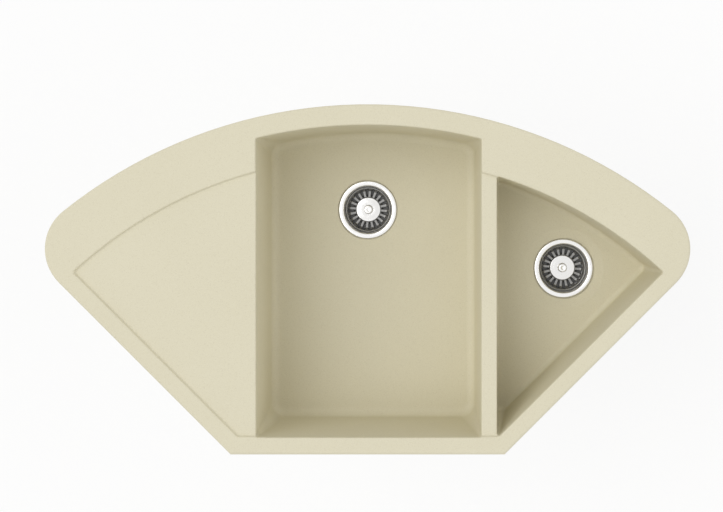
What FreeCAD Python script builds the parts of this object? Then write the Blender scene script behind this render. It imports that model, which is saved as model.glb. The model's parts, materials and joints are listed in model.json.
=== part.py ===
import FreeCAD
import Part

import math
import os

# Corner kitchen sink: a composite moulding with a drainer and two bowls, the strainer wastes of both
# bowls, the pipes and bottle trap below them, and the clips that hold the rim down on a worktop.
#
# Millimetres. +X is to the right, +Y goes back into the corner of the room and +Z is up. The origin
# is on the underside of the rim, where it rests on the worktop, in the middle of the front seat.
# Plan sizes are taken from the point where the two slanted sides would meet, the hub. Every curved
# edge of the plan is an arc round it.

# --- plan of the rim ---
back_r = 800.0                 # outer arc
front_reach = 225.0            # front edge from the hub
outer_corner_r = 79.0          # wide corners, between the slanted sides and the arc
rim_height = 10.0              # rim above the worktop
rim_top_round = 4.5
rim_under_round = 0.8

# --- seat on the worktop ---
seat_inset = 9.0               # the origin, in from the front edge
seal_inset = 3.0
seal_width = 4.0
seal_depth = 1.5
seal_fit = 0.1
cutout_inset = 10.0            # edge of the worktop's cut-out, in from the rim's edge
worktop = 30.0                 # thickness that the claws are set for

# --- sunk deck: the drainer and the divider ---
deck_depth = 5.0               # below the rim
deck_thickness = 9.0
deck_back_inset = 86.0         # ledge behind the deck
deck_arc_r = back_r - deck_back_inset
deck_side_inset = 28.5
deck_front_inset = 29.0
deck_corner_r = 4.0
deck_step_run = 2.0            # how far the step slopes in
deck_foot_round = 2.0
deck_apron = 8.0               # plate left round the step, under the rim
deck_lip = 0.8                 # softened edge at the top of the step

# --- bowls ---
main_depth = 200.0             # from the rim to the floor
small_depth = 150.0
bowl_wall = 7.5
bowl_floor = 9.0
bowl_draft = 1.25              # degrees
bowl_top_corner_r = 3.0
main_floor_corner_r = 26.0
small_floor_corner_r = 11.0
main_floor_round = 15.0
small_floor_round = 9.0
edge_round = 2.5
main_left_room = 41.5          # from the left end of the front edge
main_right_room = 38.0         # and from its right end
main_left = main_left_room - front_reach
main_right = front_reach - main_right_room
main_front_inset = 28.4
main_back_inset = 34.0
main_arc_r = back_r - main_back_inset
divider = 25.5                 # between the bowls
small_left = main_right + divider
small_side_inset = 27.5
small_arc_out = 0.6            # past the step behind the deck
small_arc_r = deck_arc_r + small_arc_out

# --- outlets in the floors ---
main_outlet_x = -8.0
main_outlet_back = 141.0       # in from the bowl's back arc
small_outlet_back = 92.7
small_outlet_turn = 32.8       # degrees about the hub
main_fall_r = 116.0            # reach of the floor's fall to the outlet
small_fall_r = 70.0
floor_fall = 2.0
outlet_hole_r = 45.0
flange_lap = 7.0               # steel flange over the floor, round the hole
flange_r = outlet_hole_r + flange_lap
outlet_pad_margin = 10.0       # round the flange, below the floor
outlet_pad_r = flange_r + outlet_pad_margin
outlet_pad_depth = 5.0
flange_seat_gap = 1.5          # round the flange
flange_seat_depth = 3.0

# --- blind tap holes under the back ledge ---
tap_hole_r = 17.5
tap_hole_skin = 3.0
tap_hole_ring = 6.0
tap_hole_depth = 12.0
tap_ledge_r = (deck_arc_r + back_r) / 2
tap_hole_turn = 18.5           # degrees each side of the middle

# --- strainer waste ---
sheet = 1.2                    # steel of cup and basket
flange_round = 0.8
flange_gasket_t = 1.5
gasket_margin = 0.8            # in from the edges that it seals
cup_clearance = 0.4            # to the hole in the floor
cup_depth = 34.0
cup_throat_r = outlet_hole_r - cup_clearance - sheet
cup_taper = 4.9                # from its throat to its floor
cup_floor_r = cup_throat_r - cup_taper
cup_hole_r = 4.8
cup_hole_ring_r = 17.0
cup_hole_count = 8
stopper_lap = 4.2              # rubber past the holes
stopper_r = cup_hole_ring_r + cup_hole_r + stopper_lap
stopper_t = 5.0
stopper_way = 0.8              # to the screw's head and inside the basket's middle
stopper_bevel = 1.0
disc_r = 21.5                  # raised middle of the basket
disc_rise = 2.2
basket_foot = 4.5              # from the cup's side, at their floors
basket_floor_r = cup_floor_r - basket_foot
basket_wall_run = 4.6
basket_rim_r = basket_floor_r + basket_wall_run
basket_lip = 1.6
basket_height = 14.0
slot_count = 20
slot_width = 2.4
slot_margin = 0.8              # from the raised middle
slot_start_r = disc_r + slot_margin
slot_rise = 1.2                # how far the slots run out into the wall
slot_end_r = basket_floor_r + slot_rise
stem_r = 3.0
knob_r = 7.5
knob_height = 9.0
knob_neck_r = 4.5
knob_neck = 3.0
knob_round = 2.5
screw_head_r = 5.5
screw_head = 2.6
screw_r = 3.0
screw_end_gap = 2.2            # to the foot of its post
screw_way = 0.15               # round screws and stems

floor_gasket_t = 3.0
waste_flange_margin = 5.0      # in from the pad's edge
waste_flange_r = outlet_pad_r - waste_flange_margin
waste_flange_t = 4.0
waste_wall = 2.6
waste_bore_gap = 1.5           # round the hole above
waste_bore_r = outlet_hole_r + waste_bore_gap
waste_funnel = 18.0
waste_neck_clear = 5.0         # from the cup's floor to the funnel
hub_post_r = 7.0
hub_rib = 3.0
hub_rib_count = 3
hub_rib_depth = 9.0

# --- pipes and slip joints ---
pipe_r = 20.0
pipe_wall = 2.0
socket_bore_gap = 0.4
socket_wall = 3.5
socket_length = 28.0
spigot_depth = 16.0            # pipe inside its socket
washer_t = 4.0
washer_gap = 0.15
nut_gap = 0.2
nut_wall = 3.6
nut_lap = 15.0                 # nut over the thread
nut_lip = 3.0
nut_rib = 1.4
nut_rib_count = 12
link_drop = 46.0               # from the sockets' mouths down to the level pipe
link_bend_r = 34.0
branch_out = 52.0              # tee's axis to its side socket's mouth
tee_tail = 96.0                # from the main socket's mouth to the trap's
tee_shoulder = 6.0

# --- bottle trap ---
trap_r = 36.0
trap_wall = 2.6
trap_dome = 12.0
trap_body_height = 78.0        # from the top of the dome to the barrel's end
trap_thread = 15.0
trap_outlet_drop = 36.0        # outlet's axis below the top of the dome
trap_outlet_reach = 68.0
trap_cup_height = 52.0
trap_cup_wall = 3.4
trap_cup_gap = 0.3
trap_seal_t = 2.0
trap_rib_count = 16
dip_r = 16.0
dip_wall = 1.5
dip_way = 0.4
dip_seal = 50.0                # the tube's end below the outlet's lower edge
dip_flange_t = 2.0
outlet_pipe_length = 112.0
outlet_bead = 2.5              # stop bead outside the nut
outlet_bead_rise = 1.5

# --- clips ---
boss_r = 5.5
boss_clearance = 0.5           # to the edge of the worktop's cut-out
clip_inset = cutout_inset + boss_clearance + boss_r
boss_depth = 18.0
boss_web = 6.0                 # rib from each boss towards the bowls
boss_web_reach = 12.0
insert_r = 3.5
insert_depth = 10.0
insert_fit = 0.05
clip_screw_r = 2.45
clip_screw_bite = 9.0
clip_screw_tip = 3.0           # hole above the screw's end
clip_head_r = 4.0
clip_head = 3.0
clip_way = 0.25
claw_t = 2.5
claw_inner = 4.0               # from the screw towards the bowl
claw_outer = 5.0               # and towards the worktop
claw_reach = 27.0
claw_toe = 4.0
claw_rise = 3.0
front_clip_x = (-130.0, 130.0)
side_clip_back = 300.0         # along a slanted side, in from the outer arc
back_clip_turns = (-30.0, -10.0, 10.0, 30.0)

# --- levels, of the main bowl where the small one has its own ---
deck_z = rim_height - deck_depth
deck_under_z = deck_z - deck_thickness
floor_z = rim_height - main_depth
small_lift = main_depth - small_depth
floor_under_z = floor_z - bowl_floor
pad_z = floor_under_z - outlet_pad_depth
seat_z = floor_z - floor_fall - flange_seat_depth
flange_z = seat_z + flange_gasket_t
cup_floor_z = flange_z + sheet - cup_depth
waste_top_z = pad_z - floor_gasket_t
funnel_z = cup_floor_z - sheet - waste_neck_clear
outlet_z = funnel_z - waste_funnel
mouth_z = outlet_z - socket_length
link_z = mouth_z - link_drop
trap_mouth_z = mouth_z - tee_tail
hub_y = -seat_inset - front_reach
tap_z = rim_height - tap_hole_skin - tap_hole_depth
basket_z = cup_floor_z + stopper_t
trap_top_z = trap_mouth_z - socket_length
trap_end_z = trap_top_z - trap_body_height
trap_outlet_z = trap_top_z - trap_outlet_drop
dip_end_z = trap_outlet_z - pipe_r + pipe_wall - dip_seal
claw_z = -worktop - claw_rise - claw_t

socket_bore_r = pipe_r + socket_bore_gap
thread_r = socket_bore_r + socket_wall
half = math.sqrt(0.5)
up = FreeCAD.Vector(0, 0, 1)


# --- plan outlines ---
# A place is given by its x and its distance back from the hub. A side is a straight line, with its
# inward normal and its distance from the hub, or an arc about the hub. Sides run anticlockwise, and
# corner i lies after side i.

def plan_point(place, z):
    return FreeCAD.Vector(place[0], place[1] + hub_y, z)


def polar(radius, turn):
    """A place at a radius from the hub, turned clockwise from the middle of the back."""
    angle = math.radians(turn)
    return (radius * math.sin(angle), radius * math.cos(angle))


def straight(nx, ny, reach):
    return {"normal": FreeCAD.Vector(nx, ny, 0), "reach": reach}


def arc(radius):
    return {"radius": radius}


def meeting(first, second, inset):
    """Where two neighbouring sides cross when both are moved in by inset."""
    if "radius" in first or "radius" in second:
        bent, line, sense = (second, first, 1) if "radius" in second else (first, second, -1)
        normal, reach = line["normal"], line["reach"] + inset
        along = FreeCAD.Vector(normal.y, -normal.x, 0)
        run = math.sqrt((bent["radius"] - inset) ** 2 - reach ** 2)
        return normal * reach + along * (sense * run)
    a, b = first["normal"], second["normal"]
    ra, rb = first["reach"] + inset, second["reach"] + inset
    cross = a.x * b.y - a.y * b.x
    return FreeCAD.Vector((ra * b.y - rb * a.y) / cross, (rb * a.x - ra * b.x) / cross, 0)


def foot(side, point, inset):
    """The nearest place to a point on a side that is moved in by inset."""
    if "radius" in side:
        return point * ((side["radius"] - inset) / point.Length)
    return point + side["normal"] * (side["reach"] + inset - side["normal"].dot(point))


def outline(sides, inset, corner_r, z):
    """A closed wire of the sides moved in by inset, its corners rounded by corner_r each."""
    to_part = FreeCAD.Vector(0, hub_y, z)
    count = len(sides)
    centres = [meeting(sides[i], sides[(i + 1) % count], inset + corner_r[i]) for i in range(count)]
    edges = []
    for i, side in enumerate(sides):
        start = foot(side, centres[i - 1], inset)
        end = foot(side, centres[i], inset)
        if "radius" in side:
            middle = (start + end).normalize() * (side["radius"] - inset)
            edges.append(Part.Arc(start + to_part, middle + to_part, end + to_part).toShape())
        else:
            edges.append(Part.LineSegment(start + to_part, end + to_part).toShape())
        if corner_r[i] > 0:
            leave = foot(sides[(i + 1) % count], centres[i], inset)
            outward = ((end - centres[i]) + (leave - centres[i])).normalize()
            middle = centres[i] + outward * corner_r[i]
            edges.append(Part.Arc(end + to_part, middle + to_part, leave + to_part).toShape())
    return Part.Wire(edges)


def slab(wire, height):
    return Part.Face(wire).extrude(up * height)


def loft(wires):
    return Part.makeLoft(wires, True, True)


def edges_at(shape, z):
    """The edges that lie in the level plane at z."""
    box = [(edge, edge.BoundBox) for edge in shape.Edges]
    return [edge for edge, b in box if abs(b.ZMin - z) < 0.01 and abs(b.ZMax - z) < 0.01]


right_side = straight(-half, half, 0)
left_side = straight(half, half, 0)
rim_sides = [straight(0, 1, front_reach), right_side, arc(back_r), left_side]
rim_corners = [0, outer_corner_r, outer_corner_r, 0]
deck_sides = [
    straight(0, 1, front_reach + deck_front_inset),
    straight(-half, half, deck_side_inset),
    arc(deck_arc_r),
    straight(half, half, deck_side_inset),
]
main_sides = [
    straight(0, 1, front_reach + main_front_inset),
    straight(-1, 0, -main_right),
    arc(main_arc_r),
    straight(1, 0, main_left),
]
small_sides = [straight(-half, half, small_side_inset), arc(small_arc_r), straight(1, 0, small_left)]
main_outlet = (main_outlet_x, main_arc_r - main_outlet_back)
small_outlet = polar(small_arc_r - small_outlet_back, small_outlet_turn)
main_bowl = {"sides": main_sides, "lift": 0, "corner_r": main_floor_corner_r, "round": main_floor_round,
             "outlet": main_outlet, "fall_r": main_fall_r}
small_bowl = {"sides": small_sides, "lift": small_lift, "corner_r": small_floor_corner_r,
              "round": small_floor_round, "outlet": small_outlet, "fall_r": small_fall_r}
bowls = {"main": main_bowl, "small": small_bowl}


def grown(corners, extra):
    """Corner radii after the outline moves out by extra."""
    return [r + extra for r in corners]


# --- sink body ---

def bowl_section(bowl, z, extra):
    """The bowl's plan at a height, moved out by extra."""
    down = rim_height - z
    depth = main_depth - bowl["lift"]
    corner_r = bowl_top_corner_r + (bowl["corner_r"] - bowl_top_corner_r) * down / depth
    inset = down * math.tan(math.radians(bowl_draft))
    sides = bowl["sides"]
    return outline(sides, inset - extra, [corner_r + extra] * len(sides), z)


def bowl_block(bowl, top, bottom, extra):
    """A bowl's solid from top to bottom, with its floor edge rounded."""
    bottom += bowl["lift"]
    block = loft([bowl_section(bowl, bottom, extra), bowl_section(bowl, top, extra)])
    return block.makeFillet(bowl["round"] + extra, edges_at(block, bottom))


def disc(r, place, z, height):
    return Part.makeCylinder(r, height, plan_point(place, z), up)


def lifted(shape, bowl):
    """A shape made at the main bowl's level, moved to the bowl's own."""
    shape.translate(up * bowl["lift"])
    return shape


def set_outward(shape, place, outward, z):
    """Turn a shape made at zero so that its +Y points outward, and set it at a place."""
    shape.rotate(FreeCAD.Vector(), up, math.degrees(math.atan2(-outward[0], outward[1])))
    shape.translate(plan_point(place, z))
    return shape


def clip_places():
    """Where each clip's screw stands, with the outward direction of the rim there."""
    places = [((x, front_reach + clip_inset), (0, -1)) for x in front_clip_x]
    along = (back_r - side_clip_back) * half
    inward = clip_inset * half
    places.append(((along - inward, along + inward), (half, -half)))
    for turn in back_clip_turns[::-1]:
        places.append((polar(back_r - clip_inset, turn), polar(1, turn)))
    places.append(((inward - along, along + inward), (-half, -half)))
    return places


def clip_boss(place, outward):
    """Post for a clip's screw, with a rib that runs in under the rim."""
    post = disc(boss_r, place, -boss_depth, boss_depth)
    corner = FreeCAD.Vector(-boss_web / 2, -boss_web_reach, 0)
    web = Part.makeBox(boss_web, boss_web_reach, boss_depth, corner)
    return post.fuse(set_outward(web, place, outward, -boss_depth))


def rim_plate():
    plate = slab(outline(rim_sides, 0, rim_corners, 0), rim_height)
    plate = plate.makeFillet(rim_top_round, edges_at(plate, rim_height))
    return plate.makeFillet(rim_under_round, edges_at(plate, 0))


def outlet_cuts(bowl):
    """The fall of the floor, the flange's seat and the hole."""
    place = bowl["outlet"]
    fall = Part.makeCone(flange_r, bowl["fall_r"], floor_fall, plan_point(place, floor_z - floor_fall), up)
    seat = disc(flange_r + flange_seat_gap, place, seat_z, floor_z - seat_z)
    hole = disc(outlet_hole_r, place, pad_z, seat_z - pad_z)
    return [lifted(cut, bowl) for cut in (fall, seat, hole)]


def tap_places():
    return [polar(tap_ledge_r, turn) for turn in (-tap_hole_turn, tap_hole_turn)]


def opening_edges(shape):
    """The edges of the bowls' openings in the top of the rim."""
    found = []
    for edge in edges_at(shape, rim_height):
        middle = edge.valueAt((edge.FirstParameter + edge.LastParameter) / 2)
        from_hub = middle - FreeCAD.Vector(0, hub_y, middle.z)
        from_side = (from_hub.y - abs(from_hub.x)) * half
        from_front = from_hub.y - front_reach
        if min(from_side, from_front, back_r - from_hub.Length) > 2 * rim_top_round:
            found.append(edge)
    return found


def deck_side_edges(shape):
    """The long edges where the deck meets the sides of the bowls."""
    found = []
    for edge in edges_at(shape, deck_z):
        box = edge.BoundBox
        near = min(abs(box.XMin - x) for x in (main_left, main_right, small_left))
        if near < edge_round and box.XLength < edge_round and edge.Length > deck_front_inset:
            found.append(edge)
    return found


def deck_spaces():
    """The space over the sunk deck, with a rounded foot and a soft edge at the top of its step."""
    corner_r = [deck_corner_r] * 4
    step_foot = outline(deck_sides, deck_step_run, corner_r, deck_z)
    step_top = outline(deck_sides, 0, corner_r, rim_height)
    deck = loft([step_foot, step_top])
    deck = deck.makeFillet(deck_foot_round, edges_at(deck, deck_z))
    lip_foot = outline(deck_sides, 0, corner_r, rim_height - deck_lip)
    lip_top = outline(deck_sides, -deck_lip, grown(corner_r, deck_lip), rim_height)
    return deck, loft([lip_foot, lip_top])


def rim_ring(inset, width, height):
    """A level ring under the rim that follows its edge."""
    outer = slab(outline(rim_sides, inset, [max(r - inset, 0) for r in rim_corners], 0), height)
    far = inset + width
    return outer.cut(slab(outline(rim_sides, far, [max(r - far, 0) for r in rim_corners], 0), height))


def sink_body():
    apron = outline(deck_sides, -deck_apron, grown([deck_corner_r] * 4, deck_apron), deck_under_z)
    solids = [slab(apron, -deck_under_z)]
    for bowl in bowls.values():
        solids.append(bowl_block(bowl, 0, floor_under_z, bowl_wall))
        solids.append(lifted(disc(outlet_pad_r, bowl["outlet"], pad_z, outlet_pad_depth), bowl))
    solids += [clip_boss(place, outward) for place, outward in clip_places()]
    for place in tap_places():
        solids.append(disc(tap_hole_r + tap_hole_ring, place, tap_z, -tap_z))
    body = rim_plate().fuse(solids)
    body = body.cut([bowl_block(bowl, rim_height, floor_z, 0) for bowl in bowls.values()])
    body = body.Solids[0].makeFillet(edge_round, opening_edges(body))
    deck, deck_lip_space = deck_spaces()
    body = body.cut(deck).Solids[0]
    body = body.makeFillet(edge_round, deck_side_edges(body))

    tools = [deck_lip_space]
    tools += outlet_cuts(main_bowl)
    tools += outlet_cuts(small_bowl)
    tools.append(rim_ring(seal_inset, seal_width, seal_depth))
    for place, _ in clip_places():
        tools.append(disc(insert_r, place, -boss_depth, insert_depth))
        tools.append(disc(clip_screw_r + clip_way, place, -boss_depth, insert_depth + clip_screw_tip))
    for place in tap_places():
        tools.append(disc(tap_hole_r, place, tap_z, tap_hole_depth))
    return body.cut(tools).Solids[0]


def rim_seal():
    return rim_ring(seal_inset + seal_fit, seal_width - 2 * seal_fit, seal_depth)


# --- turned pieces ---

def turned(points, place=(0, -hub_y)):
    """A solid turned about a level place from (radius, height) points."""
    wire = Part.makePolygon([FreeCAD.Vector(r, 0, z) for r, z in points + points[:1]])
    solid = Part.Face(wire).revolve(FreeCAD.Vector(), up, 360)
    solid.translate(plan_point(place, 0))
    return solid


def ring(outer, inner, place, z, height):
    return disc(outer, place, z, height).cut(disc(inner, place, z, height))


def around(shape, place, count):
    """Copies of a shape, evenly spaced about a place."""
    copies = []
    for i in range(count):
        copy = shape.copy()
        copy.rotate(plan_point(place, 0), up, 360 * i / count)
        copies.append(copy)
    return copies


def rounded_at(solid, radius, z):
    return solid.makeFillet(radius, edges_at(solid, z))


# --- strainer waste ---

def strainer_cup(place):
    """Pressed flange and cup in one, with a ring of holes in the cup's floor."""
    hole_r = screw_r + screw_way
    points = [
        (hole_r, cup_floor_z),
        (cup_floor_r, cup_floor_z),
        (cup_throat_r, flange_z),
        (cup_throat_r, flange_z + sheet),
        (flange_r, flange_z + sheet),
        (flange_r, flange_z),
        (cup_throat_r + sheet, flange_z),
        (cup_floor_r + sheet, cup_floor_z - sheet),
        (hole_r, cup_floor_z - sheet),
    ]
    cup = rounded_at(turned(points, place), flange_round, flange_z + sheet)
    drain = disc(cup_hole_r, (place[0] + cup_hole_ring_r, place[1]), cup_floor_z - 2 * sheet, 3 * sheet)
    return cup.cut(around(drain, place, cup_hole_count))


def flange_gasket(place):
    return ring(flange_r - gasket_margin, outlet_hole_r + gasket_margin, place, seat_z, flange_gasket_t)


def floor_gasket(place):
    outer = waste_flange_r - gasket_margin
    return ring(outer, outlet_hole_r + gasket_margin, place, waste_top_z, floor_gasket_t)


def waste_body(place):
    """Plastic funnel with a threaded outlet, and a post on ribs for the centre screw."""
    outside = [
        (waste_flange_r, waste_top_z),
        (waste_flange_r, waste_top_z - waste_flange_t),
        (waste_bore_r + waste_wall, waste_top_z - waste_flange_t),
        (waste_bore_r + waste_wall, funnel_z),
        (thread_r, outlet_z),
        (thread_r, mouth_z),
    ]
    inside = [
        (socket_bore_r, mouth_z),
        (socket_bore_r, outlet_z + waste_wall),
        (waste_bore_r, funnel_z + waste_wall),
        (waste_bore_r, waste_top_z),
    ]
    shell = turned(outside + inside, place)
    filled = turned(outside + [(0, mouth_z), (0, waste_top_z)], place)
    post_top = cup_floor_z - sheet
    post = disc(hub_post_r, place, outlet_z, post_top - outlet_z)
    corner = plan_point(place, outlet_z) - FreeCAD.Vector(0, hub_rib / 2, 0)
    rib = Part.makeBox(waste_flange_r, hub_rib, hub_rib_depth, corner).common(filled)
    body = shell.fuse([post] + around(rib, place, hub_rib_count))
    return body.cut(disc(screw_r + screw_way, place, outlet_z, post_top - outlet_z)).removeSplitter()


def centre_screw(place):
    head = disc(screw_head_r, place, cup_floor_z, screw_head)
    head = rounded_at(head, screw_head / 2, cup_floor_z + screw_head)
    end_z = outlet_z + screw_end_gap
    return head.fuse(disc(screw_r, place, end_z, cup_floor_z - end_z))


def basket_stopper(place):
    """Rubber disc that shuts the holes in the cup's floor. Its raised middle fills the basket's."""
    head_space = screw_head_r + stopper_way
    middle_r = disc_r - stopper_way
    points = [
        (0, cup_floor_z + screw_head + stopper_way),
        (head_space, cup_floor_z + screw_head + stopper_way),
        (head_space, cup_floor_z),
        (stopper_r, cup_floor_z),
        (stopper_r, basket_z - stopper_bevel),
        (stopper_r - stopper_bevel, basket_z),
        (middle_r, basket_z),
        (middle_r, basket_z + disc_rise),
        (0, basket_z + disc_rise),
    ]
    return turned(points, place)


def basket(place):
    """Pressed dish with a raised middle, a ring of radial slots and a turned rim."""
    stem_hole_r = stem_r + screw_way
    rise_r = disc_r + disc_rise
    rim_z = basket_z + basket_height
    points = [
        (stem_hole_r, basket_z + disc_rise),
        (disc_r, basket_z + disc_rise),
        (rise_r, basket_z),
        (basket_floor_r, basket_z),
        (basket_rim_r, rim_z - sheet),
        (basket_rim_r + basket_lip, rim_z - sheet),
        (basket_rim_r + basket_lip, rim_z),
        (basket_rim_r - sheet, rim_z),
        (basket_floor_r - sheet / 2, basket_z + sheet),
        (rise_r + sheet / 2, basket_z + sheet),
        (disc_r + sheet / 2, basket_z + disc_rise + sheet),
        (stem_hole_r, basket_z + disc_rise + sheet),
    ]
    corner = plan_point((place[0] + slot_start_r, place[1] - slot_width / 2), basket_z - sheet)
    slot = Part.makeBox(slot_end_r - slot_start_r, slot_width, basket_height - sheet, corner)
    return turned(points, place).cut(around(slot, place, slot_count))


def basket_knob(place):
    """Knob on its stem, which stands on the stopper and passes through the basket."""
    neck_z = basket_z + disc_rise + sheet
    head_z = neck_z + knob_neck
    stem = disc(stem_r, place, neck_z - sheet, sheet)
    neck = disc(knob_neck_r, place, neck_z, knob_neck)
    head = disc(knob_r, place, head_z, knob_height - knob_neck)
    head = rounded_at(head, knob_round, neck_z + knob_height)
    return stem.fuse([neck, head])


# --- slip joints: a pipe in a socket, sealed by a cone washer under a nut ---

def turned_to(shape, mouth, direction):
    """A shape made about +Z at zero, moved to a socket's mouth and pointed out of it."""
    shape.Placement = FreeCAD.Placement(mouth, FreeCAD.Rotation(up, direction)).multiply(shape.Placement)
    return shape


def slip_nut(mouth, direction):
    bore_r = thread_r + nut_gap
    outer_r = bore_r + nut_wall
    lip_r = pipe_r + nut_gap
    points = [
        (bore_r, -nut_lap),
        (outer_r, -nut_lap),
        (outer_r, washer_t),
        (outer_r - nut_lip, washer_t + nut_lip),
        (lip_r, washer_t + nut_lip),
        (lip_r, washer_t),
        (bore_r, washer_t),
    ]
    rib = Part.makeCylinder(nut_rib, nut_lap + washer_t, FreeCAD.Vector(outer_r, 0, -nut_lap), up)
    nut = turned(points).fuse(around(rib, (0, -hub_y), nut_rib_count))
    return turned_to(nut, mouth, direction)


def cone_washer(mouth, direction):
    inner_r = pipe_r + washer_gap
    points = [
        (inner_r, 0),
        (thread_r - washer_gap, 0),
        (thread_r - washer_gap, washer_t / 2),
        (inner_r + pipe_wall, washer_t),
        (inner_r, washer_t),
    ]
    return turned_to(turned(points), mouth, direction)


# --- pipes ---

def rod(r, start, direction, length):
    return Part.makeCylinder(r, length, start, direction)


def link_direction():
    """Level direction from the tee to the small bowl's waste."""
    return (plan_point(small_outlet, 0) - plan_point(main_outlet, 0)).normalize()


def branch_mouth():
    return plan_point(main_outlet, link_z) + link_direction() * branch_out


def link_pipe():
    """Pipe that drops from the small bowl's waste and runs level to the tee."""
    along = link_direction() * -1
    top = plan_point(small_outlet, mouth_z + small_lift + spigot_depth)
    bend_top = plan_point(small_outlet, link_z + link_bend_r)
    bend_end = plan_point(small_outlet, link_z) + along * link_bend_r
    bend_centre = bend_top + along * link_bend_r
    middle = bend_centre + ((bend_top - bend_centre) + (bend_end - bend_centre)).normalize() * link_bend_r
    end = branch_mouth() + along * spigot_depth
    path = Part.Wire([
        Part.LineSegment(top, bend_top).toShape(),
        Part.Arc(bend_top, middle, bend_end).toShape(),
        Part.LineSegment(bend_end, end).toShape(),
    ])
    walls = []
    for r in (pipe_r, pipe_r - pipe_wall):
        section = Part.Wire(Part.makeCircle(r, top, up))
        walls.append(path.makePipeShell([section], True, False))
    return walls[0].cut(walls[1])


def tee_pipe():
    """Pipe from the main waste down into the trap, with a side socket for the link pipe."""
    top = plan_point(main_outlet, mouth_z + spigot_depth)
    length = tee_tail + 2 * spigot_depth
    down = up * -1
    side = link_direction()
    centre = plan_point(main_outlet, link_z)
    hub_top = centre + up * (thread_r + tee_shoulder)
    bore_r = pipe_r - pipe_wall
    solid = rod(pipe_r, top, down, length)
    solid = solid.fuse([rod(thread_r, hub_top, down, 2 * (thread_r + tee_shoulder)),
                        rod(thread_r, centre, side, branch_out)])
    bores = [rod(bore_r, top, down, length), rod(bore_r, centre, side, branch_out)]
    bores.append(rod(socket_bore_r, branch_mouth(), side * -1, spigot_depth))
    return solid.cut(bores)


def outlet_pipe():
    """Plain pipe towards the wall, with a bead that shows how far it goes into its socket."""
    back = FreeCAD.Vector(0, 1, 0)
    start = outlet_mouth() - back * spigot_depth
    bead_start = outlet_mouth() + back * (washer_t + nut_lip)
    pipe = rod(pipe_r, start, back, outlet_pipe_length)
    pipe = pipe.fuse(rod(pipe_r + outlet_bead_rise, bead_start, back, outlet_bead))
    return pipe.cut(rod(pipe_r - pipe_wall, start, back, outlet_pipe_length))


# --- bottle trap ---

def outlet_mouth():
    return plan_point((main_outlet[0], main_outlet[1] + trap_outlet_reach), trap_outlet_z)


def trap_body():
    """Socket, dome and barrel of the bottle trap, with its side outlet towards the wall."""
    shelf_z = trap_mouth_z - spigot_depth - dip_flange_t
    inner_r = trap_r - trap_wall
    outside = [
        (thread_r, trap_mouth_z),
        (thread_r, trap_top_z),
        (trap_r, trap_top_z - trap_dome),
        (trap_r, trap_end_z),
    ]
    inside = [
        (inner_r, trap_end_z),
        (inner_r, trap_top_z - trap_dome - trap_wall),
        (dip_r + dip_way, trap_top_z - trap_wall),
        (dip_r + dip_way, shelf_z),
        (socket_bore_r, shelf_z),
        (socket_bore_r, trap_mouth_z),
    ]
    barrel = turned(outside + inside, main_outlet)
    back = FreeCAD.Vector(0, 1, 0)
    axis = plan_point(main_outlet, trap_outlet_z)
    branch = rod(thread_r, axis, back, trap_outlet_reach).cut(
        disc(trap_r - trap_wall, main_outlet, trap_end_z, trap_top_z - trap_end_z))
    bores = [rod(pipe_r - pipe_wall, axis, back, trap_outlet_reach)]
    bores.append(rod(socket_bore_r, outlet_mouth(), back * -1, spigot_depth))
    return barrel.fuse(branch).cut(bores)


def trap_dip_tube():
    """Tube that carries the waste water down below the outlet and makes the water seal."""
    flange_top = trap_mouth_z - spigot_depth
    bore_r = dip_r - dip_wall
    flange = ring(socket_bore_r - dip_way, bore_r, main_outlet, flange_top - dip_flange_t, dip_flange_t)
    return flange.fuse(ring(dip_r, bore_r, main_outlet, dip_end_z, flange_top - dip_end_z)).removeSplitter()


def trap_cup():
    """Cup that screws up over the barrel's end and closes the trap."""
    skirt_r = trap_r + trap_cup_gap
    outer_r = skirt_r + trap_cup_wall
    inner_r = trap_r - trap_wall
    shelf_z = trap_end_z - trap_seal_t
    bottom_z = shelf_z - trap_cup_height
    points = [
        (0, bottom_z),
        (inner_r, bottom_z),
        (inner_r + trap_cup_wall, bottom_z + trap_cup_wall),
        (inner_r + trap_cup_wall, shelf_z - trap_cup_wall),
        (outer_r, shelf_z),
        (outer_r, trap_end_z + trap_thread),
        (skirt_r, trap_end_z + trap_thread),
        (skirt_r, shelf_z),
        (inner_r, shelf_z),
        (inner_r, bottom_z + trap_cup_wall),
        (0, bottom_z + trap_cup_wall),
    ]
    rib_place = (main_outlet[0] + outer_r, main_outlet[1])
    rib = disc(nut_rib, rib_place, shelf_z, trap_seal_t + trap_thread)
    return turned(points, main_outlet).fuse(around(rib, main_outlet, trap_rib_count))


def trap_cup_seal():
    return ring(trap_r, trap_r - trap_wall, main_outlet, trap_end_z - trap_seal_t, trap_seal_t)


# --- clips ---

def clip_inserts():
    solids = []
    outer_r = insert_r - insert_fit
    for place, _ in clip_places():
        solids.append(ring(outer_r, clip_screw_r + insert_fit, place, -boss_depth, insert_depth))
    return Part.makeCompound(solids)


def clip_screws():
    solids = []
    for place, _ in clip_places():
        head = disc(clip_head_r, place, claw_z - clip_head, clip_head)
        head = rounded_at(head, clip_head / 2, claw_z - clip_head)
        top = clip_screw_bite - boss_depth
        solids.append(head.fuse(disc(clip_screw_r, place, claw_z, top - claw_z)))
    return Part.makeCompound(solids)


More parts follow.
